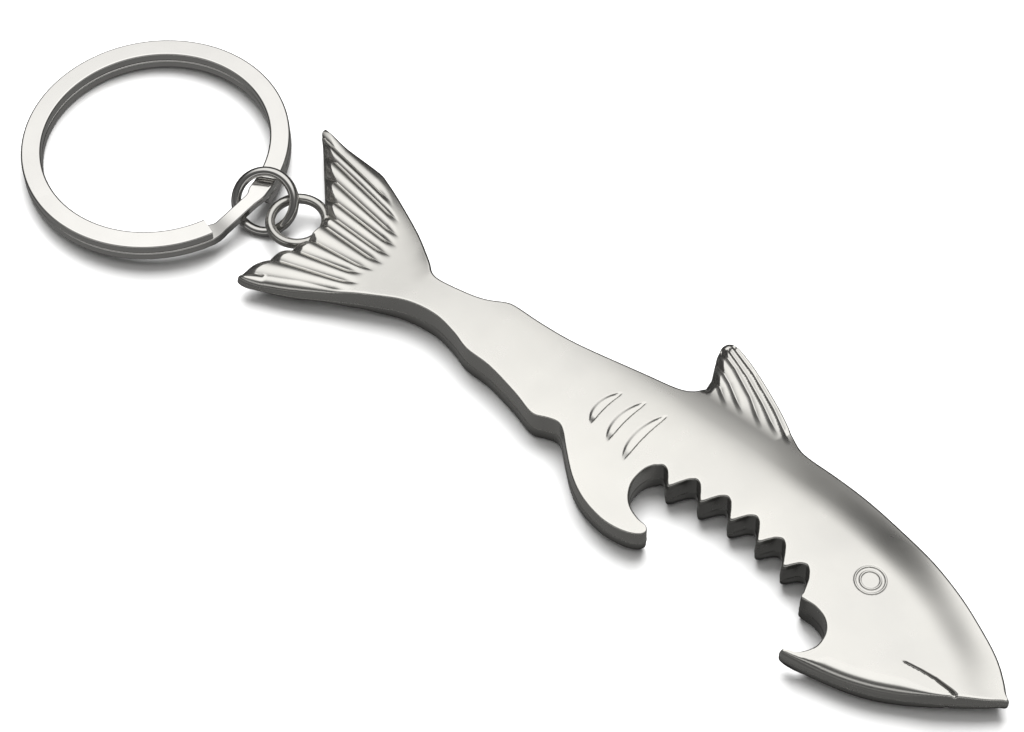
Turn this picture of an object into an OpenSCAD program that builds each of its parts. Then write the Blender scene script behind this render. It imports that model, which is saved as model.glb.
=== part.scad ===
// Shark-shaped bottle opener on a key ring.
// Millimetres. X runs from tail to nose, Y from belly to back, Z up through the thickness.
// The opener lies flat: its underside land is the plane z = 0.

/* [Shark body] */
// Thickness of the casting at its middle
body_t = 5; // [4:0.1:6]
// Radius of the crown across the upper face
crown_r = 45; // [30:1:80]
// Radius of the crown across the under face
under_r = 65; // [40:1:120]
// Height of the crown axis line, along Y
crown_y = -1.5; // [-4:0.1:2]
// Lower face of the edge band that the fins and lips are left at
rim_z0 = 1.0; // [0.6:0.1:2]
// Upper face of the edge band
rim_z1 = 3.6; // [3:0.1:4.5]
// Upper face of the tail fan
tail_z1 = 4.1; // [3.5:0.1:5]
// Upper face of the back fin, midway up its height
fin_z1 = 3.7; // [3:0.1:4.5]
// Lower face of the back fin, midway up its height
fin_z0 = 0.95; // [0.5:0.05:1.5]
// Upper face of the nose
nose_z1 = 3.4; // [2.8:0.1:4.5]

/* [Bite] */
// Spacing of the notches that grip the cap edge
notch_pitch = 3.94; // [3.5:0.02:4.4]
// Number of notches
notch_count = 6; // [4:1:7]
// Depth of a notch from tooth tip to root
notch_depth = 2.45; // [1:0.05:3]
// X of the first notch, beside the belly hook
notch_x0 = 23.3; // [22:0.1:25]

/* [Engraving] */
// Depth of the eye, gill and mouth lines
engrave_depth = 0.25; // [0.1:0.05:0.4]
// Radius of the outer eye line
eye_r = 1.7; // [1.2:0.05:2.5]
// Radius of the inner eye line
eye_inner_r = 1.15; // [0.6:0.05:1.6]
// Depth of the grooves between the rays of the tail fan
fan_groove = 0.45; // [0.2:0.05:0.7]
// Depth of the grooves in the back fin
fin_groove = 0.35; // [0.2:0.05:0.6]

/* [Eyelet] */
// Outer radius of the cast eyelet in the fork of the tail
eyelet_r = 3.85; // [3:0.05:5]
// Width of the eyelet band
eyelet_w = 1.15; // [0.9:0.05:1.6]
// Height of the eyelet band
eyelet_h = 1.3; // [1.2:0.1:2.6]

/* [Jump ring] */
// Outer diameter of the jump ring
jump_od = 8.2; // [7:0.1:10]
// Wire diameter of the jump ring
jump_wire = 1.16; // [0.8:0.02:1.6]
// Butt gap of the jump ring, in degrees
jump_gap = 3; // [1:0.5:8]
// Lean of the jump ring away from lying flat
jump_lean = 39.5; // [20:0.5:50]

/* [Split ring] */
// Outer diameter of the split ring
split_od = 32; // [25:0.5:35]
// Width of the flat wire
split_w = 2.4; // [1.8:0.05:3]
// Thickness of the flat wire
split_t = 1.2; // [1:0.05:1.6]
// Lift of the split ring where it leans on the jump ring, in degrees
split_lean = 2.9; // [0:0.1:6]
// Width the wire is crimped to where it steps from turn to turn
jog_w = 1.8; // [1.2:0.1:2.4]

/* [Hidden] */
$fn = 64;

// steps of the smooth outline between two neighbouring points
curve_steps = 4;
engrave_w = 0.32;
eye_pos = [49.4, 0.2];
// X, lower end and upper end of each gill line
gills = [[13.5, -3.1, 2.4], [16.35, -3.8, 3.1], [19.25, -4.7, 3.2]];
gill_bow_r = 14;
// the mouth line is an arc of this radius, centred below its middle
mouth_mid = [62, -4.9];
mouth_r = 22;
mouth_half_a = 12;
mouth_top_depth = 0.5;
mouth_under_depth = 0.9;
// how far the groove cutters run on past the rear edge
groove_over = 1.5;
// grooves of the tail fan and of the back fin, each from its rear end to its front end
fan_grooves = [[[-36, 9], [-25, 7.3]], [[-34, 7.5], [-22, 5.5]], [[-32, 5.5], [-20.5, 3.7]],
    [[-29.5, 3.1], [-19.8, 2.3]], [[-28, 1.1], [-19.5, 0.8]], [[-28, -0.4], [-19.5, -0.6]],
    [[-28, -2.8], [-19.8, -2.1]], [[-28.5, -5], [-20.5, -3.4]], [[-29, -7.4], [-20, -4.7]],
    [[-30.5, -10.7], [-19.3, -6]]];
fin_grooves = [[[20, 14.9], [30.5, 9.9]], [[20.2, 13.6], [28, 9.5]], [[20.3, 12], [25.3, 9.4]],
    [[20.8, 10.6], [23.8, 8.9]]];
// a height clear above and below the casting, for cutters, and a width clear of it along Y
clear_z = 4;
clear_y = 60;
notch_x1 = notch_x0 + notch_pitch * (notch_count - 1);
notch_mid_x = 32.6;
notch_crest_y = -1.05;
// fall of the row of notches away from its middle
notch_bow = 0.0145;
notch_skew = 0.05;
// below 1, the tooth tips are blunter than the roots
notch_blunt = 0.85;

eyelet_pos = [-31.2, -1.15, 2.46];
jump_pos = [-35.9, -1.6, 2.8];
// compass direction the lowest side of the jump ring points to
jump_down_dir = -69;
// where the butt gap is, counted from the lowest side: under the split ring
jump_gap_at = 320;
split_pos = [-51.6, -3.3];
// where the jog between the two turns starts and ends
jog_a0 = -22.2;
jog_a1 = 7.8;
turn_gap = 0.05;
// how far the crimped piece stands towards the outside of the ring
jog_out = 0.3;

// Smooth outline through points
function tangent(p, i) = i == 0 ? p[1] - p[0]
    : i == len(p) - 1 ? p[i] - p[i - 1] : (p[i + 1] - p[i - 1]) / 2;
function blend(a, b, ta, tb, t) = a * (2 * pow(t, 3) - 3 * t * t + 1) + ta * (pow(t, 3) - 2 * t * t + t)
    + b * (3 * t * t - 2 * pow(t, 3)) + tb * (pow(t, 3) - t * t);
// the last point is left to the next run
function smooth_run(p) = [for (i = [0 : len(p) - 2], k = [0 : curve_steps - 1])
    blend(p[i], p[i + 1], tangent(p, i), tangent(p, i + 1), k / curve_steps)];

// from the upper tail tip along the back to the tip of the dorsal fin
back_run = [[-37.3, 10.1], [-37.3, 10.6], [-36.8, 10.8], [-33, 10.2], [-28, 9.85],
    [-26.3, 9.35], [-23, 7.9], [-18.3, 5.55], [-14.7, 3.2],
    [-13.2, 2], [-11.5, 1.8], [-8, 2.35], [-6, 3], [-4.3, 4], [-3, 4.4], [1, 4.4], [6, 4.8], [14, 6.4],
    [18, 7.25], [19.6, 8.2], [20.2, 9.3], [19.9, 11], [18.7, 13.5], [18.1, 15.2]];
// fin tip, leading edge, nape and forehead down to the nose
head_run = [[18.1, 15.2], [18.3, 16.1], [19.4, 16.4], [23, 15.2], [28.1, 12.7], [31.3, 10.8], [33.2, 9.7],
    [34.8, 9.35], [38, 9.3], [42, 9.1], [46, 8.6], [52, 7.4], [57, 5.75], [61.2, 3.9], [65.4, 1.5],
    [69, -1.8]];
// under the snout and along the lower jaw to its hook
jaw_run = [[69, -1.8], [66.7, -3.7], [63.1, -6.3], [60, -8.3], [57, -9.9], [54, -11], [51, -11.7],
    [48.5, -12.2], [47, -12.4]];
// round the jaw hook and up its inner side
jaw_hook_run = [[47, -12.4], [46.4, -12.3], [46.7, -11.9], [48, -11.4], [49, -10.4], [49.45, -9.2],
    [49.2, -7.8], [48.2, -6.7], [46.6, -6.2], [45.4, -6.3], [44.8, -6.4]];
jaw_corner_run = [[44.8, -6.4], [44.5, -5.4]];
// from the first notch round the belly hook
belly_hook_run = [[22.7, -2.7], [22.1, -3.7], [21.9, -5.1], [22.1, -6.4], [22.8, -7.7], [23.8, -8.55],
    [25.2, -9.05], [26.4, -9.25], [26.9, -9.8]];
// outer side of the belly hook, belly and underside of the tail to its lower tip
belly_run = [[26.9, -9.8], [26.6, -10.5], [25.4, -11.2], [23.6, -11.6], [21.5, -11.6], [18.6, -10.9],
    [16, -9.5], [13.4, -7.3], [11.8, -5.8], [10.7, -5.2], [9.4, -5.5], [7.6, -6.1], [4.5, -5.2], [0, -4.2],
    [-3.5, -4], [-6, -3.2], [-9.3, -2.6], [-13, -3.1], [-16.5, -4.7], [-20.2, -6.8], [-25.2, -9.8],
    [-29.8, -11.9]];
// rear edge of the tail, through the fork, back to the upper tip
rear_run = [[-29.8, -11.9], [-30.8, -12.05], [-31.3, -11.6], [-30.8, -9.9], [-30, -8], [-29.3, -6.2],
    [-28.5, -4.5], [-28.1, -2.4], [-28.1, -0.6], [-28.8, 0.9], [-30.2, 2.5], [-33.4, 6], [-35.6, 8.4],
    [-37.3, 10.1]];

// the notched edge, from the jaw towards the belly hook
function notch_y(x) = notch_crest_y - notch_bow * pow(x - notch_mid_x, 2)
    - notch_depth * pow((1 - cos(360 * (x - notch_x0) / notch_pitch)) / 2, notch_blunt);
notch_edge = [for (k = [notch_count * 8 - 6 : -1 : -1])
    let (u = k / 8, x = notch_x0 + notch_pitch * u)
    [x + notch_skew * notch_pitch * sin(360 * u), notch_y(x)]];

body_outline = concat(smooth_run(back_run), smooth_run(head_run), smooth_run(jaw_run),
    smooth_run(jaw_hook_run), smooth_run(jaw_corner_run), notch_edge, smooth_run(belly_hook_run),
    smooth_run(belly_run), smooth_run(rear_run));

// thickness profile seen from the side: tapers to the tail fan and to the nose
side_profile = [[-40, rim_z0 - 0.1], [-22, rim_z0 - 0.1], [-11, 0], [46, 0], [70, 1.3],
    [70, nose_z1], [58, 4.4], [46, body_t], [-9, body_t], [-22, tail_z1 + 0.1], [-40, tail_z1]];

// how far the crown cylinders stand past the flat lands
land_over = 0.15;
body_mid_x = 16;
body_len = 120;

module crown_lens() {
    intersection() {
        translate([body_mid_x, crown_y, body_t + land_over - crown_r]) rotate([0, 90, 0])
            cylinder(r = crown_r, h = body_len, center = true);
        translate([body_mid_x, crown_y, under_r - land_over]) rotate([0, 90, 0])
            cylinder(r = under_r, h = body_len, center = true);
    }
}

module eyelet() {
    band_mid_r = eyelet_r - eyelet_w / 2;
    half_flat = (eyelet_h - eyelet_w) / 2;
    translate(eyelet_pos) rotate_extrude() {
        for (s = [-1, 1]) translate([band_mid_r, s * half_flat]) circle(d = eyelet_w);
        translate([band_mid_r, 0]) square([eyelet_w, 2 * half_flat], center = true);
    }
}

// a circular engraved line, cut into both faces
module ring_line(pos, r, depth_z) {
    translate([pos[0], pos[1], depth_z]) difference() {
        cylinder(r = r + engrave_w / 2, h = clear_z);
        translate([0, 0, -1]) cylinder(r = r - engrave_w / 2, h = clear_z + 2);
    }
}

// a gill line: an arc that bows towards the tail
module gill_line(x, y0, y1, depth_z) {
    half_a = asin((y1 - y0) / 2 / gill_bow_r);
    translate([x + gill_bow_r, (y0 + y1) / 2, depth_z]) rotate([0, 0, 180 - half_a])
        rotate_extrude(angle = 2 * half_a)
            translate([gill_bow_r - engrave_w, 0]) square([2 * engrave_w, clear_z]);
}

module mouth_line(depth_z) {
    translate([mouth_mid[0], mouth_mid[1] - mouth_r, depth_z]) rotate([0, 0, 90 - mouth_half_a])
        rotate_extrude(angle = 2 * mouth_half_a)
            translate([mouth_r - engrave_w, 0]) square([2 * engrave_w, clear_z]);
}

// a V groove of 90 degrees from the rear end to the front end; floor_z is its bottom
module v_groove(ends, floor_z) {
    along = ends[1] - ends[0];
    translate([ends[1][0], ends[1][1], floor_z]) rotate([0, 0, atan2(along[1], along[0]) + 180])
        rotate([90, 0, 90]) linear_extrude(height = norm(along) + groove_over)
            polygon([[0, 0], [clear_z, clear_z], [-clear_z, clear_z]]);
}

// eye and gill lines for one face; depth_z is the floor of the cut
module face_lines(depth_z) {
    ring_line(eye_pos, eye_r, depth_z);
    ring_line(eye_pos, eye_inner_r, depth_z);
    for (g = gills) gill_line(g[0], g[1], g[2], depth_z);
}

// the grooves of one face, for the heights of its tail fan and of its back fin
module fin_lines(tail_z, fin_z) {
    for (ends = fan_grooves) v_groove(ends, tail_z - fan_groove);
    for (ends = fin_grooves) v_groove(ends, fin_z - fin_groove);
}

module shark_body() {
    color("silver") {
        difference() {
            intersection() {
                union() {
                    crown_lens();
                    translate([body_mid_x - body_len / 2, -clear_y / 2, rim_z0])
                        cube([body_len, clear_y, rim_z1 - rim_z0]);
                }
                linear_extrude(height = body_t) polygon(body_outline);
                rotate([90, 0, 0]) linear_extrude(height = clear_y, center = true) polygon(side_profile);
            }
            face_lines(body_t - engrave_depth);
            translate([0, 0, body_t]) mirror([0, 0, 1]) face_lines(body_t - engrave_depth);
            mouth_line(nose_z1 + mouth_top_depth);
            translate([0, 0, body_t]) mirror([0, 0, 1]) mouth_line(body_t - mouth_under_depth);
            fin_lines(tail_z1, fin_z1);
            translate([0, 0, body_t]) mirror([0, 0, 1]) fin_lines(body_t - rim_z0 + 0.1, body_t - fin_z0);
        }
        eyelet();
    }
}

module jump_ring() {
    color("gainsboro") translate(jump_pos) rotate([0, 0, jump_down_dir]) rotate([0, jump_lean, 0])
        rotate([0, 0, jump_gap_at + jump_gap / 2]) rotate_extrude(angle = 360 - jump_gap)
            translate([(jump_od - jump_wire) / 2, 0]) circle(d = jump_wire);
}

module split_turn(z) {
    translate([0, 0, z]) rotate([0, 0, jog_a1]) rotate_extrude(angle = 360 + jog_a0 - jog_a1)
        translate([split_od / 2 - split_w, 0]) square([split_w, split_t]);
}

// the straight crimped piece that climbs from the lower turn to the upper one
module split_jog() {
    wire_mid_r = (split_od - split_w) / 2;
    rise = split_t + turn_gap;
    half_a = (jog_a1 - jog_a0) / 2;
    run = 2 * wire_mid_r * sin(half_a);
    // run of the crimped piece into each turn
    overlap = 0.5;
    rotate([0, 0, (jog_a0 + jog_a1) / 2])
        translate([wire_mid_r * cos(half_a) + jog_out, 0, (split_t + rise) / 2])
            rotate([atan(rise / run), 0, 0]) cube([jog_w, run + 2 * overlap, split_t], center = true);
}

module split_ring() {
    color("gainsboro") translate([split_pos[0], split_pos[1], split_od / 2 * sin(split_lean)])
        rotate([0, -split_lean, 0]) {
            split_turn(0);
            split_turn(split_t + turn_gap);
            split_jog();
        }
}

shark_body();
jump_ring();
split_ring();
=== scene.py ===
"""The look of the shark bottle opener, its jump ring and its split key ring.

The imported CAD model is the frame. Lengths in the helpers are millimetres and become metres when
a mesh is made. X runs from tail to nose, Y from belly to back, Z up.
"""

import math

import bmesh
import bpy
import numpy as np
from mathutils import Matrix, Vector
from mathutils.geometry import delaunay_2d_cdt


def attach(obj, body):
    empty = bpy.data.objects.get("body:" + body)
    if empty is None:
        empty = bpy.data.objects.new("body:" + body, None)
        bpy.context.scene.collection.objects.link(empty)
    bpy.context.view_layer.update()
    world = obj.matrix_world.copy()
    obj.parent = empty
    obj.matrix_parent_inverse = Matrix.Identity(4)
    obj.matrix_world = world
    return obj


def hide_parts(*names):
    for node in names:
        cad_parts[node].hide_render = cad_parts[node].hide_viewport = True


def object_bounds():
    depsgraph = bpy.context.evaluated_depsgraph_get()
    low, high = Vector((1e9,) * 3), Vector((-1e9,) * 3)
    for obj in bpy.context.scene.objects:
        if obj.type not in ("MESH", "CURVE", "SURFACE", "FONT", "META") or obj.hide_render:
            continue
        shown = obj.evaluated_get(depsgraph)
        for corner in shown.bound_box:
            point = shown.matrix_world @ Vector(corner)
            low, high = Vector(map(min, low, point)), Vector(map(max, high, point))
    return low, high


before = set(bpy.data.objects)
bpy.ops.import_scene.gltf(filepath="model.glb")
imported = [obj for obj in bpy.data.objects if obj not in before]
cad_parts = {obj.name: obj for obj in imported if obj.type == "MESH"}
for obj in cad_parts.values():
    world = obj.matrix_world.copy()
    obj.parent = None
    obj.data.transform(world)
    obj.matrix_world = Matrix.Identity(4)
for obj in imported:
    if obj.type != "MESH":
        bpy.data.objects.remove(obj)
cad_low, cad_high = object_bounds()
MM = 0.001


# ---------------------------------------------------------------- small maths

def smooth(t):
    """Smooth step from 0 to 1."""
    t = np.clip(t, 0.0, 1.0)
    return t * t * (3 - 2 * t)


def soft_min(a, b, k):
    """The smaller of two heights, with a rounded crease of about k."""
    h = np.clip(0.5 + 0.5 * (b - a) / k, 0, 1)
    return b + (a - b) * h - k * h * (1 - h)


def soft_max(a, b, k):
    return -soft_min(-a, -b, k)


def segment_distance(points, chain, closed=False):
    """Distance from each point to a chain of straight segments."""
    points, chain = np.asarray(points, float), np.asarray(chain, float)
    ends = np.roll(chain, -1, axis=0) if closed else chain[1:]
    ax, ay = (chain if closed else chain[:-1]).T
    dx, dy = ends[:, 0] - ax, ends[:, 1] - ay
    scale = 1 / np.maximum(dx * dx + dy * dy, 1e-12)
    out = np.empty(len(points))
    for i in range(0, len(points), 1000):
        qx = points[i:i + 1000, :1] - ax
        qy = points[i:i + 1000, 1:] - ay
        t = np.clip((qx * dx + qy * dy) * scale, 0, 1)
        qx -= t * dx
        qy -= t * dy
        out[i:i + 1000] = np.sqrt((qx * qx + qy * qy).min(1))
    return out


# ---------------------------------------------------------------- the outline of the casting

CUT_Z = 1.6          # height of the cut that gives the outline, clear of every groove
OUTLINE_STEP = 0.16


def cad_outline(node, z):
    """The longest closed loop of a CAD node cut at height z, anticlockwise."""
    bm = bmesh.new()
    bm.from_mesh(node.data)
    bmesh.ops.remove_doubles(bm, verts=bm.verts, dist=1e-7)
    bmesh.ops.bisect_plane(bm, geom=bm.verts[:] + bm.edges[:] + bm.faces[:], dist=1e-9,
                           plane_co=(0, 0, z * MM), plane_no=(0, 0, 1),
                           clear_inner=True, clear_outer=True)
    bmesh.ops.remove_doubles(bm, verts=bm.verts, dist=2e-7)
    left = dict.fromkeys(bm.verts)
    loops = []
    while left:
        v = next(iter(left))
        del left[v]
        loop = [v]
        while True:
            nxt = [e.other_vert(v) for e in v.link_edges if e.other_vert(v) in left]
            if not nxt:
                break
            v = nxt[0]
            del left[v]
            loop.append(v)
        loops.append(np.array([[p.co.x, p.co.y] for p in loop]) / MM)
    bm.free()
    loop = max(loops, key=len)
    x, y = loop[:, 0], loop[:, 1]
    area = (x * np.roll(y, -1) - np.roll(x, -1) * y).sum()
    loop = loop if area > 0 else loop[::-1]
    # every run starts at the same point, the rearmost, so that every run makes the same mesh
    return np.roll(loop, -int(np.lexsort((loop[:, 1], loop[:, 0]))[0]), axis=0)


def fine_loop(loop, step, soften):
    """A smooth, evenly spaced loop through the points, its corners softened by a small radius."""
    nxt, prv = np.roll(loop, -1, 0), np.roll(loop, 1, 0)
    h1 = np.linalg.norm(nxt - loop, axis=1)[:, None]
    h0 = np.linalg.norm(loop - prv, axis=1)[:, None]
    slope = ((nxt - loop) / h1 * h0 + (loop - prv) / h0 * h1) / (h0 + h1)
    parts = []
    for i in range(len(loop)):
        j = (i + 1) % len(loop)
        h = h1[i, 0]
        n = max(2, int(math.ceil(h / step * 3)))
        t = (np.arange(n) / n)[:, None]
        parts.append((2 * t ** 3 - 3 * t ** 2 + 1) * loop[i] + (t ** 3 - 2 * t ** 2 + t) * h * slope[i]
                     + (3 * t ** 2 - 2 * t ** 3) * loop[j] + (t ** 3 - t ** 2) * h * slope[j])
    dense = np.concatenate(parts)
    for _ in range(2):
        gaps = np.linalg.norm(np.roll(dense, -1, 0) - dense, axis=1)
        at = np.concatenate([[0], np.cumsum(gaps)])
        count = int(round(at[-1] / step))
        wrapped = np.vstack([dense, dense[:1]])
        want = np.arange(count) / count * at[-1]
        dense = np.stack([np.interp(want, at, wrapped[:, k]) for k in (0, 1)], 1)
        freq = np.fft.fftfreq(count, at[-1] / count)
        keep = np.exp(-2 * (math.pi * soften * freq) ** 2)[:, None]
        dense = np.real(np.fft.ifft(np.fft.fft(dense, axis=0) * keep, axis=0))
    return dense


def outward(loop, soften=2):
    """Unit outward normals of an anticlockwise loop."""
    t = np.roll(loop, -1, 0) - np.roll(loop, 1, 0)
    n = np.stack([t[:, 1], -t[:, 0]], 1)
    n /= np.linalg.norm(n, axis=1)[:, None]
    for _ in range(soften):
        n = np.roll(n, 1, 0) + 2 * n + np.roll(n, -1, 0)
        n /= np.linalg.norm(n, axis=1)[:, None]
    return n


def soften_ring(values):
    return (np.roll(values, 1, 0) + 2 * values + np.roll(values, -1, 0)) / 4


def round_off(loop, x, y, reach, passes):
    """The loop with its corner near (x, y) smoothed."""
    share = np.exp(-((loop[:, 0] - x) ** 2 + (loop[:, 1] - y) ** 2) / reach ** 2)[:, None]
    for _ in range(passes):
        loop = loop + share * (soften_ring(loop) - loop)
    return loop


cut = cad_outline(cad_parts["shark_body"], CUT_Z)
rim = fine_loop(cut, OUTLINE_STEP, 0.13)
rim = round_off(rim, 18.8, 16.2, 1.3, 24)    # tip of the back fin
rim = round_off(rim, 20.5, 9.5, 1.3, 30)     # foot of its rear edge
rim_normal = outward(rim)


def part_of_rim(keep):
    """The stretch of the cut outline that a test on (x, y, normal) keeps, as one chain."""
    n = outward(cut, 0)
    flags = keep(cut[:, 0], cut[:, 1], n)
    start = int(np.argmax(flags & ~np.roll(flags, 1)))
    order = (np.arange(len(cut)) + start) % len(cut)
    stop = int(np.argmin(flags[order]))
    return cut[order[:stop]]


head_back = part_of_rim(lambda x, y, n: (x > 33) & (y > -2.2) & (n[:, 1] > 0.1))
mid_back = part_of_rim(lambda x, y, n: (x > -16) & (x < 19) & (y > 0) & (n[:, 1] > 0.2))
tail_back = part_of_rim(lambda x, y, n: (x > -36.5) & (x < -13.5) & (y > 2) & (n[:, 1] > 0.3))
upper_rear = part_of_rim(lambda x, y, n: (x < -28.3) & (n[:, 0] < -0.4) & (y > 0.2))
lower_rear = part_of_rim(lambda x, y, n: (x < -28) & (n[:, 0] < -0.2) & (y < -3))
fin_rear = part_of_rim(lambda x, y, n: (x > 17.5) & (x < 21) & (y > 8.6) & (n[:, 0] < -0.3))

# ---------------------------------------------------------------- the faces of the casting

# tail fan: where each groove stands at the front line and at the rear line
FAN_FRONT_X, FAN_REAR_X = -19.5, -28.5
FAN_FRONT_Y = np.array([6.2, 5.0, 3.5, 2.3, 0.8, -0.6, -2.1, -3.1, -4.6, -6.0])
FAN_REAR_Y = np.array([8.0, 6.7, 4.9, 3.0, 1.15, -0.4, -2.95, -5.3, -7.5, -10.0])
FAN_START_X = np.array([-23.5, -21.0, -19.5, -18.8, -18.4, -18.4, -18.7, -19.3, -18.8, -18.6])
FIN_GROOVES = [
    [(19.6, 15.85), (23.2, 14.5), (27.9, 12.1), (32.0, 9.5)],
    [(19.2, 15.3), (22.9, 13.75), (26.5, 11.85), (30.3, 9.5)],
    [(18.7, 14.7), (21.3, 13.7), (24.9, 11.7), (28.3, 9.2)],
    [(19.2, 13.1), (22.0, 11.7), (25.6, 9.3)],
    [(19.7, 11.4), (21.6, 10.5), (23.6, 9.0)],
    [(20.0, 10.0), (21.4, 9.0)],
]
# gills: X of the sharp line, its upper and lower end, width of the scoop behind it
GILLS = [(13.8, 2.5, -3.2, 1.15), (16.65, 3.2, -3.9, 1.2), (19.55, 3.3, -4.8, 1.25)]
EYE = (49.4, 0.2)
EYE_RADII = (1.69, 1.12)
MOUTH = [(57.6, -5.5), (59.6, -5.15), (61.5, -4.92), (63.7, -4.93), (66.2, -5.2)]
NOTCH_MID_X, NOTCH_TOP_Y, NOTCH_BOW, NOTCH_DEPTH = 32.6, -1.05, 0.0145, 2.45


def fan(x, y):
    """(groove depth factor, ridge shape from 0 in a groove to 1 on a crest) of the tail fan."""
    t = (x - FAN_FRONT_X) / (FAN_REAR_X - FAN_FRONT_X)
    lines = FAN_FRONT_Y[:, None] + (FAN_REAR_Y - FAN_FRONT_Y)[:, None] * t
    lines = np.vstack([lines[0] + 2.2, lines, lines[-1] - 2.6])
    starts = np.concatenate([[FAN_START_X[0] - 3], FAN_START_X, [FAN_START_X[-1]]])
    shape = np.ones_like(x)
    amount = np.zeros_like(x)
    for k in range(len(lines) - 1):
        u = (lines[k] - y) / np.maximum(lines[k] - lines[k + 1], 0.2)
        inside = (u >= 0) & (u < 1)
        start = starts[k] * (1 - u) + starts[k + 1] * u
        roll = 1 - (2 * u - 1) ** 2
        if k == 0:
            roll = np.where(u < 0.5, 1, roll)
        if k == len(lines) - 2:
            roll = np.where(u > 0.5, 1, roll)
        shape = np.where(inside, roll, shape)
        amount = np.where(inside, smooth((start - x) / 2.6), amount)
    return amount, shape


def gill_line_x(gx, v):
    """X of a gill's sharp line at v, from -1 at its lower end to 1 at its upper end."""
    return gx - 0.3 * (1 - v ** 2) + 0.1 * v


def fin_groove(p):
    """1 on the grooves of the back fin, 0 away from them."""
    groove = np.zeros(len(p))
    for chain in FIN_GROOVES:
        fade = smooth((chain[-1][0] + 0.3 - p[:, 0]) / 2.2)
        groove = np.maximum(groove, fade * np.clip(1 - segment_distance(p, chain) / 0.62, 0, 1) ** 1.5)
    return groove


def engraving(x, y):
    """Depth of the cast lines below the plain face, the same on both faces."""
    p = np.stack([x, y], 1)
    depth = np.zeros_like(x)
    amount, shape = fan(x, y)
    depth += 0.35 * amount * (1 - shape)
    near = (x > 17) & (x < 33) & (y > 7)
    if near.any():
        depth[near] += 0.21 * fin_groove(p[near])
    # gills: a sharp line on the nose side of a scoop that fades towards the tail
    for gx, top, low, width in GILLS:
        v = (y - (top + low) / 2) / ((top - low) / 2)
        across = gill_line_x(gx, v) - x
        reach = 0.12 + width * np.clip(1 - v ** 2, 0, 1) * (0.9 - 0.15 * v)
        u = np.clip(1 - across / reach, 0, 1)
        scoop = np.where(across > 0, smooth(u / 0.45) * (0.4 + 0.6 * u), np.exp(-(across / 0.1) ** 2))
        depth += 0.27 * scoop * smooth((1 + v) / 0.45) * smooth((1 - v) / 0.35)
    r = np.hypot(x - EYE[0], y - EYE[1])
    for ring in EYE_RADII:
        depth += 0.09 * np.exp(-((r - ring) / 0.12) ** 2)
    depth += (0.26 + 0.26 * smooth((x - 57.6) / 8.5)) * mouth_line(x, y)
    return depth


def mouth_line(x, y):
    """1 at the bottom of the mouth line, 0 beside it; wider towards the lip, steep on its upper side."""
    mx, my = np.array(MOUTH).T
    above = y - np.interp(x, mx, my)
    wide = np.where(above > 0, 0.16, 0.17 + 0.2 * smooth((x - 57.6) / 8.5))
    return np.clip(1 - np.abs(above) / wide, 0, 1) * smooth((x - 57.5) / 0.9)


def groove_shade(p):
    """Painted shade on a face, darkest in the mouth line."""
    return 0.95 * smooth(mouth_line(p[:, 0], p[:, 1]) * 2.5)


def top_height(x, y):
    """Upper face, without the rounding of its edge."""
    p = np.stack([x, y], 1)
    plain = 5 - 0.85 * smooth((-7.5 - x) / 15) - 1.5 * np.clip((x - 42) / 27, 0, 1) ** 1.8
    crown = 5.12 - (y + 1.5) ** 2 / 90
    z = soft_min(plain, crown, 0.5)
    # back fin, with its rear edge scalloped between the rays
    fin = smooth((x - 16.5) / 1.5) * smooth((33.5 - x) / 3.0)
    z = np.where(y > 5, soft_max(z, 3.75 * fin, 0.3), z)
    near = (x > 17) & (x < 23) & (y > 7)
    if near.any():
        d = segment_distance(p[near], fin_rear) - 0.3 * fin_groove(p[near])
        z[near] -= 0.6 * np.clip(1 - d / 1.05, 0, 1) ** 1.3 * smooth((p[near, 1] - 8.4) / 1.5)
    # back edge of the body and of the head
    d = segment_distance(p, mid_back)
    z -= 0.56 * np.clip(1 - d / 4.5, 0, 1) ** 2 * smooth((x + 17) / 4) * smooth((20 - x) / 5)
    d = segment_distance(p, tail_back)
    z -= 0.36 * np.clip(1 - d / 3.2, 0, 1) ** 2 * smooth((x + 37) / 4) * smooth((-13 - x) / 4)
    d = segment_distance(p, head_back)
    on_head = smooth((x - 27) / 12) * (0.35 + 0.65 * smooth((x - 38) / 13))
    on_head = on_head * (1 - 0.5 * smooth((x - 60) / 9))
    z -= 0.68 * on_head * (1 - smooth((d - 0.3) / 5.3))
    # rear edges of the tail, scalloped where the ridges end
    amount, shape = fan(x, y)
    d = segment_distance(p, upper_rear) + 0.6 * (shape - 0.5) * amount * smooth((x + 36.6) / 2.5)
    near_tip = 1 - 0.75 * smooth((y - 7.8) / 2.2)
    z -= np.clip(1 - d / 1.25, 0, 1) ** 1.2 * smooth((-25 - x) / 2) * near_tip
    d = segment_distance(p, lower_rear) + 0.35 * (shape - 0.6) * amount
    z -= 0.75 * np.clip(1 - d / 1.1, 0, 1) ** 1.2 * smooth((-25 - x) / 2)
    z -= 0.3 * smooth((-26 - x) / 5) * smooth((-6 - y) / 3)
    return z - engraving(x, y)


def under_height(x, y):
    """Under face, without the rounding of its edge."""
    plain = (0.95 * smooth((-9 - x) / 13) + 0.6 * smooth((-24 - x) / 7)
             + 1.2 * np.clip((x - 50) / 19, 0, 1) ** 1.8)
    crown = -0.12 + (y + 1.5) ** 2 / 130
    return np.minimum(soft_max(plain, crown, 0.3) + engraving(x, y), PARTING_Z - 0.25)


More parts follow.
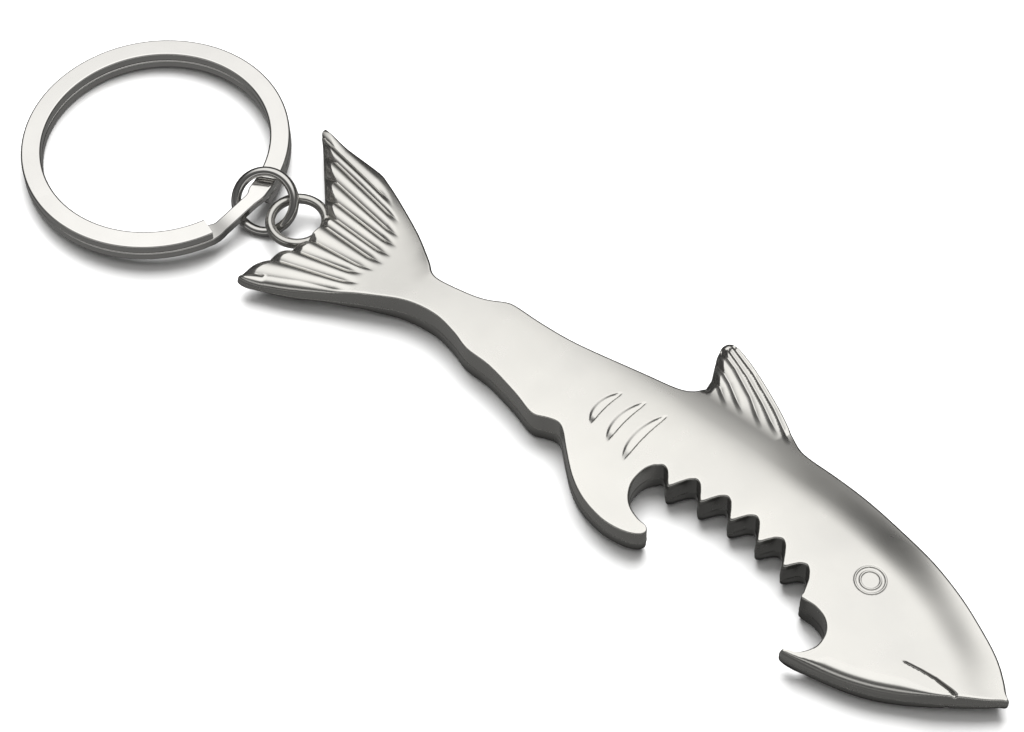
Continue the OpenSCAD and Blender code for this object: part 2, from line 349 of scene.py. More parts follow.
# tips that are drawn back above and below: X, Y, direction into the metal, pull above and below, reach
TIPS = [
    (46.5, -12.3, 0.98, 0.2, 0.5, 2.3, 2.5),
    (26.9, -9.9, -0.98, -0.2, 0.1, 0.5, 1.2),
    (69.0, -1.8, -0.98, -0.15, 0.4, 1.1, 1.6),
    (-31.2, -11.8, 0.86, 0.5, 0.6, 1.5, 1.8),
    (-37.2, 10.5, 0.9, -0.42, 0.1, 0.7, 1.3),
    (18.6, 16.2, 0.4, -0.9, 0.1, 0.5, 1.3),
]


def edge_shape(p, n):
    """For each point of the outline, above and below: height of the rounding, its inset, and its pull."""
    x, y = p[:, 0], p[:, 1]
    top = np.full(len(p), 0.24)
    low = np.full(len(p), 0.45)
    top = np.where((n[:, 1] > 0.1) & (x > -20), 0.36, top)
    top = np.where((x > 18.5) & (x < 33) & (y > 9.3), 0.26, top)
    jaw = (x > 46) & (n[:, 1] < 0) & ((y < -11) | (x > 50.5))
    top, low = np.where(jaw, 1.6 - 1.25 * smooth((x - 59) / 4.5), top), np.where(jaw, 0.85, low)
    tail = x < -17
    top = np.where(tail & (n[:, 1] > 0.3), 0.36, top)
    top = np.where(tail & (n[:, 1] < -0.3), 0.3 + 0.85 * smooth((-19 - x) / 6), top)
    low = np.where(tail, 0.65, low)
    top = np.where((x < -28) & (n[:, 0] < -0.2) & (n[:, 1] < 0.3) & (n[:, 1] > -0.75), 0.22, top)
    bite = smooth((x - 22.3) / 1.2) * smooth((45.6 - x) / 1.2) * ((y > -6.9) & (y < 0))
    tip = np.clip((NOTCH_TOP_Y - NOTCH_BOW * (x - NOTCH_MID_X) ** 2 - y) / NOTCH_DEPTH, 0, 1)
    inset_top, inset_low = top * (1 - bite) + 0.04, low * (1 - bite) + 0.04
    top = top * (1 - bite) + bite * (0.4 + 1.1 * tip)
    low = low * (1 - bite) + bite * (1.0 + 0.75 * tip)
    # the notched edge moves back as a whole, its tips most
    pull_top = np.array([0, 1.0]) * (bite * (0.22 + 0.35 * tip))[:, None]
    pull_low = np.array([0, 1.0]) * (bite * (0.75 + 0.6 * tip))[:, None]
    for tx, ty, dx, dy, above, below, reach in TIPS:
        share = np.exp(-((x - tx) ** 2 + (y - ty) ** 2) / reach ** 2)
        top = np.maximum(top, min(3 * above, 1.3) * share)
        low = np.maximum(low, min(1.6 * below, 1.7) * share)
        inset_top, inset_low = inset_top * (1 - 0.9 * share), inset_low * (1 - 0.9 * share)
        pull_top = pull_top + share[:, None] * above * np.array([dx, dy])
        pull_low = pull_low + share[:, None] * below * np.array([dx, dy])
    for _ in range(10):
        top, low, inset_top, inset_low, pull_top, pull_low = (
            soften_ring(r) for r in (top, low, inset_top, inset_low, pull_top, pull_low))
    return (top, inset_top, pull_top), (low, inset_low, pull_low)


# ---------------------------------------------------------------- the casting's mesh

PARTING_Z = 2.1
DRAFT = 0.03           # how far the walls lean in, per mm of height
DRAFTED_HEIGHT = 2.5


def turn_of(a, b, c):
    """Twice the signed area of the triangles a b c."""
    return (b[:, 0] - a[:, 0]) * (c[:, 1] - a[:, 1]) - (b[:, 1] - a[:, 1]) * (c[:, 0] - a[:, 0])


def crossed(loop, span=80):
    """Marks the stretches of a loop that lie between two edges that cross."""
    marks = np.zeros(len(loop), bool)
    after = np.roll(loop, -1, 0)
    for k in range(2, span):
        c, d = np.roll(loop, -k, 0), np.roll(after, -k, 0)
        hit = (turn_of(loop, after, c) * turn_of(loop, after, d) <= 0)
        hit &= (turn_of(c, d, loop) * turn_of(c, d, after) <= 0)
        for i in np.nonzero(hit)[0]:
            marks[(i + np.arange(-1, k + 3)) % len(loop)] = True
    return marks


def inset_limit(loop, normal, want, pull):
    """How far each point of the loop may move in, and be pulled, and still not meet another part of it."""
    allow, share = want.copy(), np.ones(len(loop))
    along = np.roll(loop, -1, 0) - loop
    for _ in range(40):
        p = loop - normal * allow[:, None]
        near = (segment_distance(p, loop, closed=True) < 0.965 * allow) & (allow > 0.03)
        # an edge that turns round or shrinks to nothing would fold the rows over
        q = p + pull * share[:, None]
        fold = ((np.roll(q, -1, 0) - q) * along).sum(1) < 0.06 * (along ** 2).sum(1)
        fold |= np.roll(fold, 1) | crossed(q)
        fold &= (allow > 0.01) | (share > 0.2)
        if not (near | fold).any():
            break
        allow[near | fold] *= 0.82
        share[fold & (allow < 0.1)] *= 0.9
        allow = np.minimum(allow, soften_ring(allow) + 0.012)
        share = np.minimum(share, soften_ring(share) + 0.01)
    return allow, pull * share[:, None]


def feature_points():
    """Chains along the cast lines, and points on them and close beside them, so that creases stay crisp."""
    chains = []
    for k in range(len(FAN_FRONT_Y)):
        slope = (FAN_REAR_Y[k] - FAN_FRONT_Y[k]) / (FAN_REAR_X - FAN_FRONT_X)
        x = np.arange(FAN_START_X[k] + 0.3, -36.5, -0.14)
        chains.append(np.stack([x, FAN_FRONT_Y[k] + slope * (x - FAN_FRONT_X)], 1))
    for corners in FIN_GROOVES + [MOUTH]:
        c = np.array(corners)
        at = np.concatenate([[0], np.cumsum(np.linalg.norm(np.diff(c, axis=0), axis=1))])
        t = np.arange(0, at[-1], 0.12)
        chains.append(np.stack([np.interp(t, at, c[:, 0]), np.interp(t, at, c[:, 1])], 1))
    for gx, top, low, _ in GILLS:
        v = np.linspace(-1, 1, 56)
        chains.append(np.stack([gill_line_x(gx, v), (top + low) / 2 + v * (top - low) / 2], 1))
    for ring in EYE_RADII:
        a = np.linspace(0, 2 * math.pi, int(ring * 60))
        chains.append(np.stack([EYE[0] + ring * np.cos(a), EYE[1] + ring * np.sin(a)], 1))
    points = []
    for chain in chains:
        t = np.gradient(chain, axis=0)
        side = np.stack([-t[:, 1], t[:, 0]], 1) / np.linalg.norm(t, axis=1)[:, None]
        points += [chain + side * o for o in (-0.17, -0.085, 0.0, 0.085, 0.17)]
    points = np.concatenate(points)
    _, first = np.unique(np.round(points / 0.05), axis=0, return_index=True)
    return chains, points[np.sort(first)]


def surface_points(border, spacing_at):
    """Points on hexagonal grids, finer where spacing_at says so, clear of the border."""
    lo, hi = border.min(0), border.max(0)
    found = []
    for level, step in enumerate((0.42, 0.21, 0.105)):
        xs = np.arange(lo[0], hi[0], step)
        ys = np.arange(lo[1], hi[1], step * 0.866)
        gx, gy = np.meshgrid(xs, ys)
        gx = gx + (np.arange(len(ys)) % 2)[:, None] * step / 2
        p = np.stack([gx.ravel(), gy.ravel()], 1)
        found.append(p[spacing_at(p[:, 0], p[:, 1]) == level])
    p = np.concatenate(found)
    chains, aligned = feature_points()
    away = np.full(len(p), 9.0)
    for chain in chains:
        close = (np.abs(p - chain.mean(0)) < np.ptp(chain, axis=0) / 2 + 0.5).all(1)
        away[close] = np.minimum(away[close], segment_distance(p[close], chain))
    p = np.vstack([p[away > 0.24], aligned])
    coarse = border[::4]
    p = p[inside_loop(p, coarse) & (segment_distance(p, coarse, closed=True) > 0.12)]
    return p[inside_loop(p, border)]


def inside_loop(p, loop):
    """Even-odd test of many points against one loop."""
    inside = np.zeros(len(p), bool)
    a, b = loop, np.roll(loop, -1, 0)
    for i in range(0, len(p), 2000):
        x, y = p[i:i + 2000, 0][:, None], p[i:i + 2000, 1][:, None]
        spans = (a[:, 1] > y) != (b[:, 1] > y)
        with np.errstate(divide="ignore", invalid="ignore"):
            cross = x < (b[:, 0] - a[:, 0]) * (y - a[:, 1]) / (b[:, 1] - a[:, 1]) + a[:, 0]
        inside[i:i + 2000] = (spans & cross).sum(1) % 2 == 1
    return inside


def grid_level(x, y):
    """0 plain, 1 ridged, 2 fine lines."""
    level = np.zeros(len(x), int)
    level[(x < -16) | ((x > 17.5) & (x < 33) & (y > 7.5))] = 1
    level[(x < -27.5) | ((x > 17.5) & (x < 22.5) & (y > 8.5))] = 2
    level[(x > 33) & (y > 3)] = 1
    level[(x > 11.5) & (x < 20) & (y > -5.2) & (y < 4.2)] = 2
    level[np.hypot(x - EYE[0], y - EYE[1]) < 2.2] = 2
    level[(x > 56.5) & (y > -6.4) & (y < -4)] = 2
    return level


def face_normals(height, x, y, sign):
    e = 0.02
    gx = (height(x + e, y) - height(x - e, y)) / (2 * e)
    gy = (height(x, y + e) - height(x, y - e)) / (2 * e)
    n = np.stack([-gx, -gy, np.ones_like(x)], 1) * sign
    return n / np.linalg.norm(n, axis=1)[:, None]


def face_mesh(border, height, sign):
    """Triangles, points and normals of one face inside its border ring; the border's points come first."""
    p = np.vstack([border, surface_points(border, grid_level)])
    count = len(border)
    edges = [(i, (i + 1) % count) for i in range(count)]
    verts, _, faces, origin, _, _ = delaunay_2d_cdt([Vector(v) for v in p], edges, [], 1, 1e-7)
    name = [o[0] for o in origin]
    tris = np.array([[name[i] for i in f] for f in faces])
    flip = turn_of(p[tris[:, 0]], p[tris[:, 1]], p[tris[:, 2]]) * sign < 0
    tris[flip] = tris[flip][:, ::-1]
    z = height(p[:, 0], p[:, 1])
    n = face_normals(height, p[:, 0], p[:, 1], sign)
    return np.column_stack([p, z]), n, tris


def casting():
    """Vertices, normals, faces, edge wear and painted shade of the whole shark."""
    ones = np.ones(len(rim))
    (r_top, inset_top, pull_top), (r_low, inset_low, pull_low) = edge_shape(rim, rim_normal)
    draft_inset = DRAFT * DRAFTED_HEIGHT
    allow_top, pull_top = inset_limit(rim, rim_normal, inset_top + draft_inset, pull_top)
    allow_low, pull_low = inset_limit(rim, rim_normal, inset_low + draft_inset, pull_low)
    ring_top = rim - rim_normal * allow_top[:, None] + pull_top
    ring_low = rim - rim_normal * allow_low[:, None] + pull_low
    top_p, top_n, top_f = face_mesh(ring_top, top_height, 1)
    low_p, low_n, low_f = face_mesh(ring_low, under_height, -1)
    n = len(rim)
    z_top, z_low = top_p[:n, 2], low_p[:n, 2]
    r_top = np.minimum(r_top, (z_top - PARTING_Z - 0.15) * 0.9)
    r_low = np.minimum(r_low, (PARTING_Z - 0.15 - z_low) * 0.9)
    rows, normals = [], []

    def row(inset, z, tilt, blend_to=None, share=0.0, shift=0.0):
        rows.append(np.column_stack([rim - rim_normal * inset[:, None] + shift, z]))
        tilt = tilt * ones
        m = np.column_stack([rim_normal * np.cos(tilt)[:, None], np.sin(tilt)])
        if blend_to is not None:
            m = m * (1 - share) + blend_to * share
        normals.append(m / np.linalg.norm(m, axis=1)[:, None])

    def rounding(a, draft, allow, pull, radius, z, sign, face_n):
        """One row of a rounded edge; a runs from 0 on the wall to a quarter turn on the face."""
        reach = allow - draft
        across = reach + np.maximum(-(pull * rim_normal).sum(1), 0)
        tilt = np.arctan2(across * math.sin(a), radius * math.cos(a))
        row(draft + reach * (1 - math.cos(a)), z - sign * radius * (1 - math.sin(a)), sign * tilt, face_n,
            (a / (math.pi / 2)) ** 3, pull * (1 - math.cos(a)))

    steps = 8
    low_draft = np.minimum(draft_inset * ones, allow_low * 0.4)
    for k in range(1, steps + 1):
        rounding(math.pi / 2 * (1 - k / steps), low_draft, allow_low, pull_low, r_low, z_low, -1, low_n[:n])
    line = 0.07
    row(0.045 * ones, (PARTING_Z - line) * ones, -0.03)
    row(0.0 * ones, (PARTING_Z - line * 0.3) * ones, -0.6)
    row(0.0 * ones, (PARTING_Z + line * 0.3) * ones, 0.6)
    row(0.045 * ones, (PARTING_Z + line) * ones, 0.03)
    top_draft = np.minimum(draft_inset * ones, allow_top * 0.4)
    for k in range(0, steps):
        rounding(math.pi / 2 * k / steps, top_draft, allow_top, pull_top, r_top, z_top, 1, top_n[:n])
    base = len(top_p) + len(low_p)
    verts = np.vstack([top_p, low_p] + rows)
    norms = np.vstack([top_n, low_n] + normals)
    ids = [np.arange(n) + base + n * k for k in range(len(rows))]
    ids = [np.arange(n) + len(top_p)] + ids + [np.arange(n)]
    faces = [tuple(f) for f in top_f] + [tuple(f) for f in low_f + len(top_p)]
    for low, high in zip(ids[:-1], ids[1:]):
        faces += [tuple(q) for q in np.stack([low, np.roll(low, -1), np.roll(high, -1), high], 1)]
    # wear: brightest along the rounded edges
    wear = np.concatenate([np.exp(-segment_distance(top_p[:, :2], cut, closed=True) / 0.35),
                           np.exp(-segment_distance(low_p[:, :2], cut, closed=True) / 0.35)]
                          + [np.full(n, 0.25 + 0.75 * abs(m[0, 2])) for m in normals])
    # painted shade: darker colour in the bite, at the rear edge of the back fin and low on the walls, where
    # shade would fall, and in the mouth line
    in_bite = smooth((rim[:, 0] - 21.5) / 1.5) * smooth(50 - rim[:, 0]) * smooth((rim[:, 1] + 9) / 2)
    in_bite = in_bite * smooth(1 - rim[:, 1])
    on_fin = smooth(rim[:, 1] - 9) * smooth(22 - rim[:, 0]) * (rim_normal[:, 0] < 0)
    painted_shade = [groove_shade(top_p), groove_shade(low_p)]
    for k, points in enumerate(rows):
        # low on the walls the colour is darkened as painted shade, standing in for the shaded table that the
        # walls would reflect
        low_wall = smooth((PARTING_Z + 0.4 - points[:, 2]) / 1.6)
        below_top = smooth((z_top - points[:, 2]) / 0.5) * (k > 0)
        painted_shade.append(np.maximum(0.75 * (in_bite + on_fin), low_wall) * below_top)
    return verts, norms, faces, wear, np.concatenate(painted_shade)


def eyelet_ring():
    """The cast eyelet in the fork: a band with a rounded section and a parting line."""
    centre, radius, width, height = np.array([-31.2, -1.15, 2.46]), 3.85, 1.15, 1.3
    mid = radius - width / 2
    sweep, section = 144, 40
    flat = (height - width) / 2
    a = np.arange(section) / section * 2 * math.pi
    side, up = np.cos(a), np.sin(a)
    line = 0.02 * np.exp(-(up / 0.1) ** 2)
    out_s = side * (width / 2 - 0.02 + line)
    up_s = up * width / 2 + np.sign(np.round(up, 6)) * flat
    verts, norms, faces = [], [], []
    for i in range(sweep):
        t = i / sweep * 2 * math.pi
        d = np.array([math.cos(t), math.sin(t), 0])
        for k in range(section):
            verts.append(centre + d * (mid + out_s[k]) + [0, 0, up_s[k]])
            norms.append(d * side[k] + [0, 0, up[k]])
            j, m = (i + 1) % sweep, (k + 1) % section
            faces.append((i * section + k, j * section + k, j * section + m, i * section + m))
    wear = np.full(len(verts), 0.8)
    # painted shade over the whole band, so it looks darker than the body
    return np.array(verts), np.array(norms), faces, wear, 0.35 * wear


def make_object(name, verts, norms, faces, wear, painted_shade):
    """A mesh in the row frame, kept inside the CAD box, with its wear and painted shade per point."""
    lo, hi = np.array(cad_low) / MM, np.array(cad_high) / MM
    mesh = bpy.data.meshes.new(name)
    mesh.from_pydata((np.clip(verts, lo, hi) * MM).tolist(), [], [list(map(int, f)) for f in faces])
    mesh.polygons.foreach_set("use_smooth", [True] * len(mesh.polygons))
    mesh.normals_split_custom_set_from_vertices(norms.tolist())
    # the second attribute is painted shade, which the material turns into a darker colour
    for label, values in (("wear", wear), ("painted_shade", painted_shade)):
        layer = mesh.attributes.new(label, "FLOAT", "POINT")
        layer.data.foreach_set("value", np.asarray(values, np.float32))
    mesh.update()
    obj = bpy.data.objects.new(name, mesh)
    bpy.context.scene.collection.objects.link(obj)
    return obj


# ---------------------------------------------------------------- the two rings

RING_SECTION = 28


def swept(path, radial, up, half_w, half_t, corner, cap_round=0.12):
    """A rounded rectangular bar along a path; returns vertices, normals and faces, ends capped."""
    quarter = RING_SECTION // 4 - 1
    verts, norms, faces = [], [], []
    unit = []
    for sx, sy, a0 in ((1, 1, 0), (-1, 1, 90), (-1, -1, 180), (1, -1, 270)):
        for k in range(quarter + 1):
            a = math.radians(a0 + 90 * k / quarter)
            unit.append((sx, sy, math.cos(a), math.sin(a)))
    unit = np.array(unit)
    m = len(unit)
    count = len(path)
    for i in range(count):
        # the last rings shrink a little, so the cut ends are not knife-sharp
        edge = min(i, count - 1 - i)
        shrink = cap_round * (1 - math.sqrt(1 - (1 - min(edge / 5, 1)) ** 2))
        w, t = half_w[i] - shrink, half_t[i] - shrink
        c = min(corner, w * 0.9, t * 0.9)
        off_r = unit[:, 0] * (w - c) + unit[:, 2] * c
        off_u = unit[:, 1] * (t - c) + unit[:, 3] * c
        verts.append(path[i] + off_r[:, None] * radial[i] + off_u[:, None] * up[i])
        norms.append(unit[:, 2:3] * radial[i] + unit[:, 3:4] * up[i])
    for i in range(count - 1):
        for k in range(m):
            j = (k + 1) % m
            faces.append((i * m + k, (i + 1) * m + k, (i + 1) * m + j, i * m + j))
    verts, norms = np.vstack(verts), np.vstack(norms)
    # the caps have their own points, so that the end faces stay flat
    for i, turn in ((0, 1), (count - 1, -1)):
        start = len(verts)
        axis = path[min(i + 1, count - 1)] - path[max(i - 1, 0)]
        axis = axis / np.linalg.norm(axis) * (-1 if i == 0 else 1)
        verts = np.vstack([verts, verts[i * m:(i + 1) * m]])
        norms = np.vstack([norms, np.tile(axis, (m, 1))])
        ring = list(range(start, start + m))
        faces.append(tuple(ring[::-1] if turn < 0 else ring))
    return verts, norms, faces


def split_ring():
    """One flat wire of two turns: the lower turn, the crimped jog up, then the upper turn."""
    od, wire_w, wire_t, lean = 32.0, 2.4, 1.2, math.radians(2.9)
    centre = np.array([-51.6, -3.3, od / 2 * math.sin(lean)])
    a0, a1, crimp_w, crimp_out, gap = -22.2, 7.8, 1.8, 0.3, 0.05
    mid_r = (od - wire_w) / 2
    rise = wire_t + gap
    jog_mid = (a0 + a1) / 2
    half = math.radians((a1 - a0) / 2)
    flat_r = mid_r * math.cos(half) + crimp_out
    end = np.linspace(0, 2, 11)
    angles = np.concatenate([
        a1 + end, np.linspace(a1 + 3, 360 + a0 - 0.5, 240), np.linspace(360 + a0, 360 + a1, 46),
        np.linspace(360 + a1 + 0.5, 720 + a0 - 3, 240), 720 + a0 - end[::-1]])
    local = np.zeros((len(angles), 3))
    half_w, half_t = np.zeros(len(angles)), np.full(len(angles), wire_t / 2)
    for i, deg in enumerate(angles):
        t = math.radians(deg)
        into = smooth(np.array((deg - (360 + a0)) / (a1 - a0)))
        edge = min(abs(deg - (360 + a0)), abs(360 + a1 - deg)) if 0 < into < 1 else 0
        in_jog = float(smooth(np.array(edge / 6.5))) if 360 + a0 < deg < 360 + a1 else 0.0
        straight = flat_r / math.cos(math.radians(deg - 360 - jog_mid)) if in_jog else mid_r
        r = mid_r * (1 - in_jog) + straight * in_jog
        climb = min(max((deg - (360 + a0)) / (a1 - a0), 0), 1)
        climb = climb * 0.75 + 0.25 * float(smooth(np.array(climb)))
        local[i] = (r * math.cos(t), r * math.sin(t), wire_t / 2 + rise * climb)
        half_w[i] = (wire_w * (1 - in_jog) + crimp_w * in_jog) / 2
    tangent = np.gradient(local, axis=0)
    tangent /= np.linalg.norm(tangent, axis=1)[:, None]
    up = np.array([0, 0, 1.0]) - tangent * tangent[:, 2:3]
    up /= np.linalg.norm(up, axis=1)[:, None]
    radial = np.cross(tangent, up)
    verts, norms, faces = swept(local, radial, up, half_w - 0.01, half_t - 0.01, 0.24, 0.4)
    # painted shade: the crimped piece is darker where it leaves the lower turn, in the shade of the upper
    # turn, and the cut ends are a little darker
    crimp = np.exp(-((angles - 360 - a0 - 5) / 6) ** 2) * 0.7
    crimp_shade = np.repeat(crimp, (len(verts) - 2 * RING_SECTION) // len(angles))
    crimp_shade = np.concatenate([crimp_shade, np.full(2 * RING_SECTION, 0.2)])
    c, s = math.cos(-lean), math.sin(-lean)
    turn = np.array([[c, 0, s], [0, 1, 0], [-s, 0, c]])
    return verts @ turn.T + centre, norms @ turn.T, faces, np.full(len(verts), 0.5), crimp_shade


def jump_ring():
    """Round wire bent to a ring, with its two cut ends almost touching."""
    od, wire, gap = 8.2, 1.16, 3.0
    path_a = np.radians(np.linspace(0, 360 - gap, 180))
    r = (od - wire) / 2
    lean_towards, lean, gap_at = (math.radians(a) for a in (-69, 39.5, 321.5))
    centre = np.array([-35.9, -1.6, 2.8])
    turn = np.array(Matrix.Rotation(lean_towards, 3, "Z") @ Matrix.Rotation(lean, 3, "Y")
                    @ Matrix.Rotation(gap_at, 3, "Z"))
    radial = np.column_stack([np.cos(path_a), np.sin(path_a), 0 * path_a])
    up = np.tile([0, 0, 1.0], (len(path_a), 1))
    full = np.full(len(path_a), wire / 2 - 0.005)
    verts, norms, faces = swept(radial * r, radial, up, full, full, wire)
    wear = np.full(len(verts), 0.5)
    # painted shade over the whole ring, so it looks darker than the split ring
    return verts @ turn.T + centre, norms @ turn.T, faces, wear, 0.6 * wear


# ---------------------------------------------------------------- materials

def nickel(name, tint, dark_tint, rough, rough_spread, grain, grain_depth, polish):
    """Plated metal: uneven sheen, fine grain, faint handling marks, polished edges, and painted shade that
    darkens its colour where each point's shade attribute asks.
    """
    mat = bpy.data.materials.new(name)
    mat.use_nodes = True
    nodes, links = mat.node_tree.nodes, mat.node_tree.links
    nodes.clear()
    out = nodes.new("ShaderNodeOutputMaterial")
    shader = nodes.new("ShaderNodeBsdfPrincipled")
    shader.inputs["Metallic"].default_value = 1.0
    links.new(shader.outputs["BSDF"], out.inputs["Surface"])
    coord = nodes.new("ShaderNodeTexCoord")

    def noise(scale, detail, roughness=0.5):
        n = nodes.new("ShaderNodeTexNoise")
        n.inputs["Scale"].default_value = scale
        n.inputs["Detail"].default_value = detail
        n.inputs["Roughness"].default_value = roughness
        links.new(coord.outputs["Object"], n.inputs["Vector"])
        return n.outputs["Fac"]

    def fit(value, lo, hi, from_lo=0.3, from_hi=0.7):
        n = nodes.new("ShaderNodeMapRange")
        links.new(value, n.inputs["Value"])
        n.inputs["From Min"].default_value = from_lo
        n.inputs["From Max"].default_value = from_hi
        n.inputs["To Min"].default_value = lo
        n.inputs["To Max"].default_value = hi
        return n.outputs["Result"]

    def combine(op, a, b):
        n = nodes.new("ShaderNodeMath")
        n.operation = op
        for value, socket in ((a, n.inputs[0]), (b, n.inputs[1])):
            if isinstance(value, float):
                socket.default_value = value
            else:
                links.new(value, socket)
        return n.outputs[0]

    wear = nodes.new("ShaderNodeAttribute")
    wear.attribute_name = "wear"
    tone = nodes.new("ShaderNodeMix")
    tone.data_type = "RGBA"
    tone.inputs["A"].default_value = (*dark_tint, 1)
    tone.inputs["B"].default_value = (*tint, 1)
    links.new(fit(noise(90, 4), 0.0, 1.0), tone.inputs["Factor"])
    # painted shade: the colour darkens towards a dim copy of the dark tint where the shade attribute asks
    painted_shade = nodes.new("ShaderNodeAttribute")
    painted_shade.attribute_name = "painted_shade"
    shade_mix = nodes.new("ShaderNodeMix")
    shade_mix.data_type = "RGBA"
    shade_mix.inputs["B"].default_value = (*[0.28 * c for c in dark_tint], 1)
    links.new(painted_shade.outputs["Fac"], shade_mix.inputs["Factor"])
    links.new(tone.outputs["Result"], shade_mix.inputs["A"])
    links.new(shade_mix.outputs["Result"], shader.inputs["Base Color"])
    cloudy = fit(noise(260, 5, 0.6), rough - rough_spread, rough + rough_spread)
    marks = fit(noise(1500, 3, 0.7), 0.0, rough_spread * 0.6, 0.55, 0.8)
    worn = combine("MULTIPLY", wear.outputs["Fac"], polish)
    total = combine("SUBTRACT", combine("ADD", cloudy, marks), worn)
    links.new(combine("MAXIMUM", total, 0.05), shader.inputs["Roughness"])
    bump = nodes.new("ShaderNodeBump")
    bump.inputs["Strength"].default_value = 0.15
    bump.inputs["Distance"].default_value = grain_depth
    links.new(noise(grain, 2, 0.6), bump.inputs["Height"])
    links.new(bump.outputs["Normal"], shader.inputs["Normal"])
    return mat


satin = nickel("satin_nickel_plate", tint=(0.67, 0.66, 0.63), dark_tint=(0.62, 0.612, 0.59),
               rough=0.29, rough_spread=0.02, grain=4500, grain_depth=5e-7, polish=0.10)
bright = nickel("bright_nickel_plate", tint=(0.72, 0.71, 0.69), dark_tint=(0.66, 0.65, 0.635),
                rough=0.13, rough_spread=0.03, grain=4000, grain_depth=4e-7, polish=0.03)

# ---------------------------------------------------------------- the pieces

body = make_object("shark_casting", *casting())
eyelet = make_object("eyelet_band", *eyelet_ring())
for piece in (body, eyelet):
    piece.data.materials.append(satin)
    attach(piece, "shark")
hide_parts("shark_body")

key_ring = make_object("split_ring_wire", *split_ring())
key_ring.data.materials.append(bright)
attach(key_ring, "key_ring")
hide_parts("split_ring")

link = make_object("jump_ring_wire", *jump_ring())
link.data.materials.append(bright)
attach(link, "jump_link")
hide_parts("jump_ring")

# ---------------------------------------------------------------- table, light and camera

floor_mesh = bpy.data.meshes.new("table_top")
floor_mesh.from_pydata([(-3, -3, 0), (3, -3, 0), (3, 3, 0), (-3, 3, 0)], [], [(0, 1, 2, 3)])
floor = bpy.data.objects.new("table_top", floor_mesh)
bpy.context.scene.collection.objects.link(floor)
floor_mat = bpy.data.materials.new("table_white")
floor_mat.use_nodes = True
floor_shader = floor_mat.node_tree.nodes["Principled BSDF"]
floor_shader.inputs["Base Color"].default_value = (0.6, 0.6, 0.6, 1)
floor_shader.inputs["Roughness"].default_value = 0.7
floor.data.materials.append(floor_mat)


def direction(azimuth, elevation):
    """Unit vector towards a compass azimuth (0 is -Y, 90 is +X) at an elevation."""
    a, e = math.radians(azimuth), math.radians(elevation)
    return Vector((math.sin(a) * math.cos(e), -math.cos(a) * math.cos(e), math.sin(e)))


def soft_box(name, azimuth, elevation, distance, width, height, power):
    data = bpy.data.lights.new(name, "AREA")
    data.shape = "RECTANGLE"
    data.size, data.size_y, data.energy = width, height, power
    obj = bpy.data.objects.new(name, data)
    back = direction(azimuth, elevation)
    obj.location = back * distance
    obj.rotation_mode = "QUATERNION"
    obj.rotation_quaternion = back.to_track_quat("Z", "Y")
    bpy.context.scene.collection.objects.link(obj)
    obj.visible_glossy = False


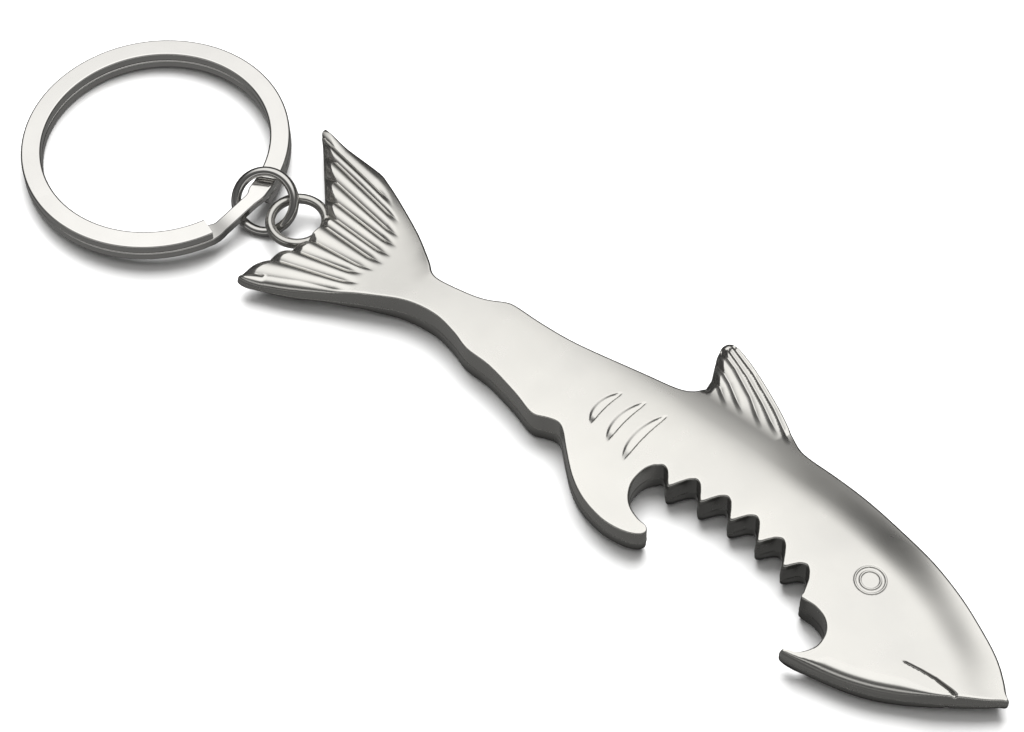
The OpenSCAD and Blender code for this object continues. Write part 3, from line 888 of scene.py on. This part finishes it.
def studio(centre, wide, narrow, glow, bands, front, front_glow):
    """The room that the metal reflects: a soft overhead glow and a low, dimmer one on the front side,
    over bands of grey given by height."""
    world = bpy.data.worlds.new("studio")
    bpy.context.scene.world = world
    world.use_nodes = True
    nodes, links = world.node_tree.nodes, world.node_tree.links
    nodes.clear()
    out = nodes.new("ShaderNodeOutputWorld")
    back = nodes.new("ShaderNodeBackground")
    coord = nodes.new("ShaderNodeTexCoord")
    links.new(back.outputs["Background"], out.inputs["Surface"])
    dot = nodes.new("ShaderNodeVectorMath")
    dot.operation = "DOT_PRODUCT"
    links.new(coord.outputs["Generated"], dot.inputs[0])
    dot.inputs[1].default_value = centre
    lobe = nodes.new("ShaderNodeMapRange")
    lobe.interpolation_type = "SMOOTHSTEP"
    links.new(dot.outputs["Value"], lobe.inputs["Value"])
    lobe.inputs["From Min"].default_value = math.cos(math.radians(wide))
    lobe.inputs["From Max"].default_value = math.cos(math.radians(narrow))
    lobe.inputs["To Max"].default_value = glow
    split = nodes.new("ShaderNodeSeparateXYZ")
    links.new(coord.outputs["Generated"], split.inputs[0])
    height = nodes.new("ShaderNodeMapRange")
    links.new(split.outputs["Z"], height.inputs["Value"])
    height.inputs["From Min"].default_value = -1
    ramp = nodes.new("ShaderNodeValToRGB")
    ramp.color_ramp.interpolation = "EASE"
    links.new(height.outputs["Result"], ramp.inputs["Fac"])
    stops = ramp.color_ramp.elements
    while len(stops) < len(bands):
        stops.new(0.5)
    for stop, (z, grey) in zip(stops, bands):
        stop.position = (z + 1) / 2
        stop.color = (grey, grey, grey, 1)
    facing = nodes.new("ShaderNodeVectorMath")
    facing.operation = "DOT_PRODUCT"
    links.new(coord.outputs["Generated"], facing.inputs[0])
    facing.inputs[1].default_value = front

    def rise(value, low, high, most):
        n = nodes.new("ShaderNodeMapRange")
        n.interpolation_type = "SMOOTHSTEP"
        links.new(value, n.inputs["Value"])
        n.inputs["From Min"].default_value, n.inputs["From Max"].default_value = low, high
        n.inputs["To Max"].default_value = most
        return n.outputs["Result"]

    def combine(operation, a, b):
        n = nodes.new("ShaderNodeMath")
        n.operation = operation
        links.new(a, n.inputs[0])
        links.new(b, n.inputs[1])
        return n.outputs[0]

    up = split.outputs["Z"]
    band = combine("MULTIPLY", rise(up, 0.0, 0.12, 1.0), rise(up, 0.46, 0.26, 1.0))
    front_light = combine("MULTIPLY", rise(facing.outputs["Value"], -0.35, 0.8, front_glow), band)
    overhead = combine("ADD", lobe.outputs["Result"], ramp.outputs["Color"])
    links.new(combine("ADD", overhead, front_light), back.inputs["Strength"])
    back.inputs["Color"].default_value = (1, 0.995, 0.98, 1)


CAMERA_AZIMUTH, CAMERA_ELEVATION, CAMERA_DISTANCE = 39, 56, 0.365
# the grey of the room at each height, from straight down (-1) to straight up (1)
GREYS = [(-1, 0.03), (-0.93, 0.06), (-0.85, 0.17), (-0.72, 0.17), (-0.58, 0.05), (-0.4, 0.3), (-0.2, 0.06),
         (0, 0.04), (0.45, 0.07), (0.85, 0.2)]
studio(centre=direction(CAMERA_AZIMUTH + 180, 80), wide=50, narrow=29, glow=1.25, bands=GREYS,
       front=direction(CAMERA_AZIMUTH, 0), front_glow=0.75)
soft_box("overhead_box", CAMERA_AZIMUTH + 180, elevation=58, distance=0.9, width=0.75, height=0.75, power=24)
floor.visible_glossy = False

camera_data = bpy.data.cameras.new("camera")
camera_data.lens, camera_data.sensor_width = 112.5, 36
camera_data.clip_start, camera_data.clip_end = 0.01, 20
camera = bpy.data.objects.new("camera", camera_data)
bpy.context.scene.collection.objects.link(camera)
towards = direction(CAMERA_AZIMUTH, CAMERA_ELEVATION)
camera.location = towards * CAMERA_DISTANCE
camera.rotation_mode = "QUATERNION"
camera.rotation_quaternion = towards.to_track_quat("Z", "Y")
bpy.context.scene.camera = camera
bpy.context.scene.view_settings.view_transform = "Standard"
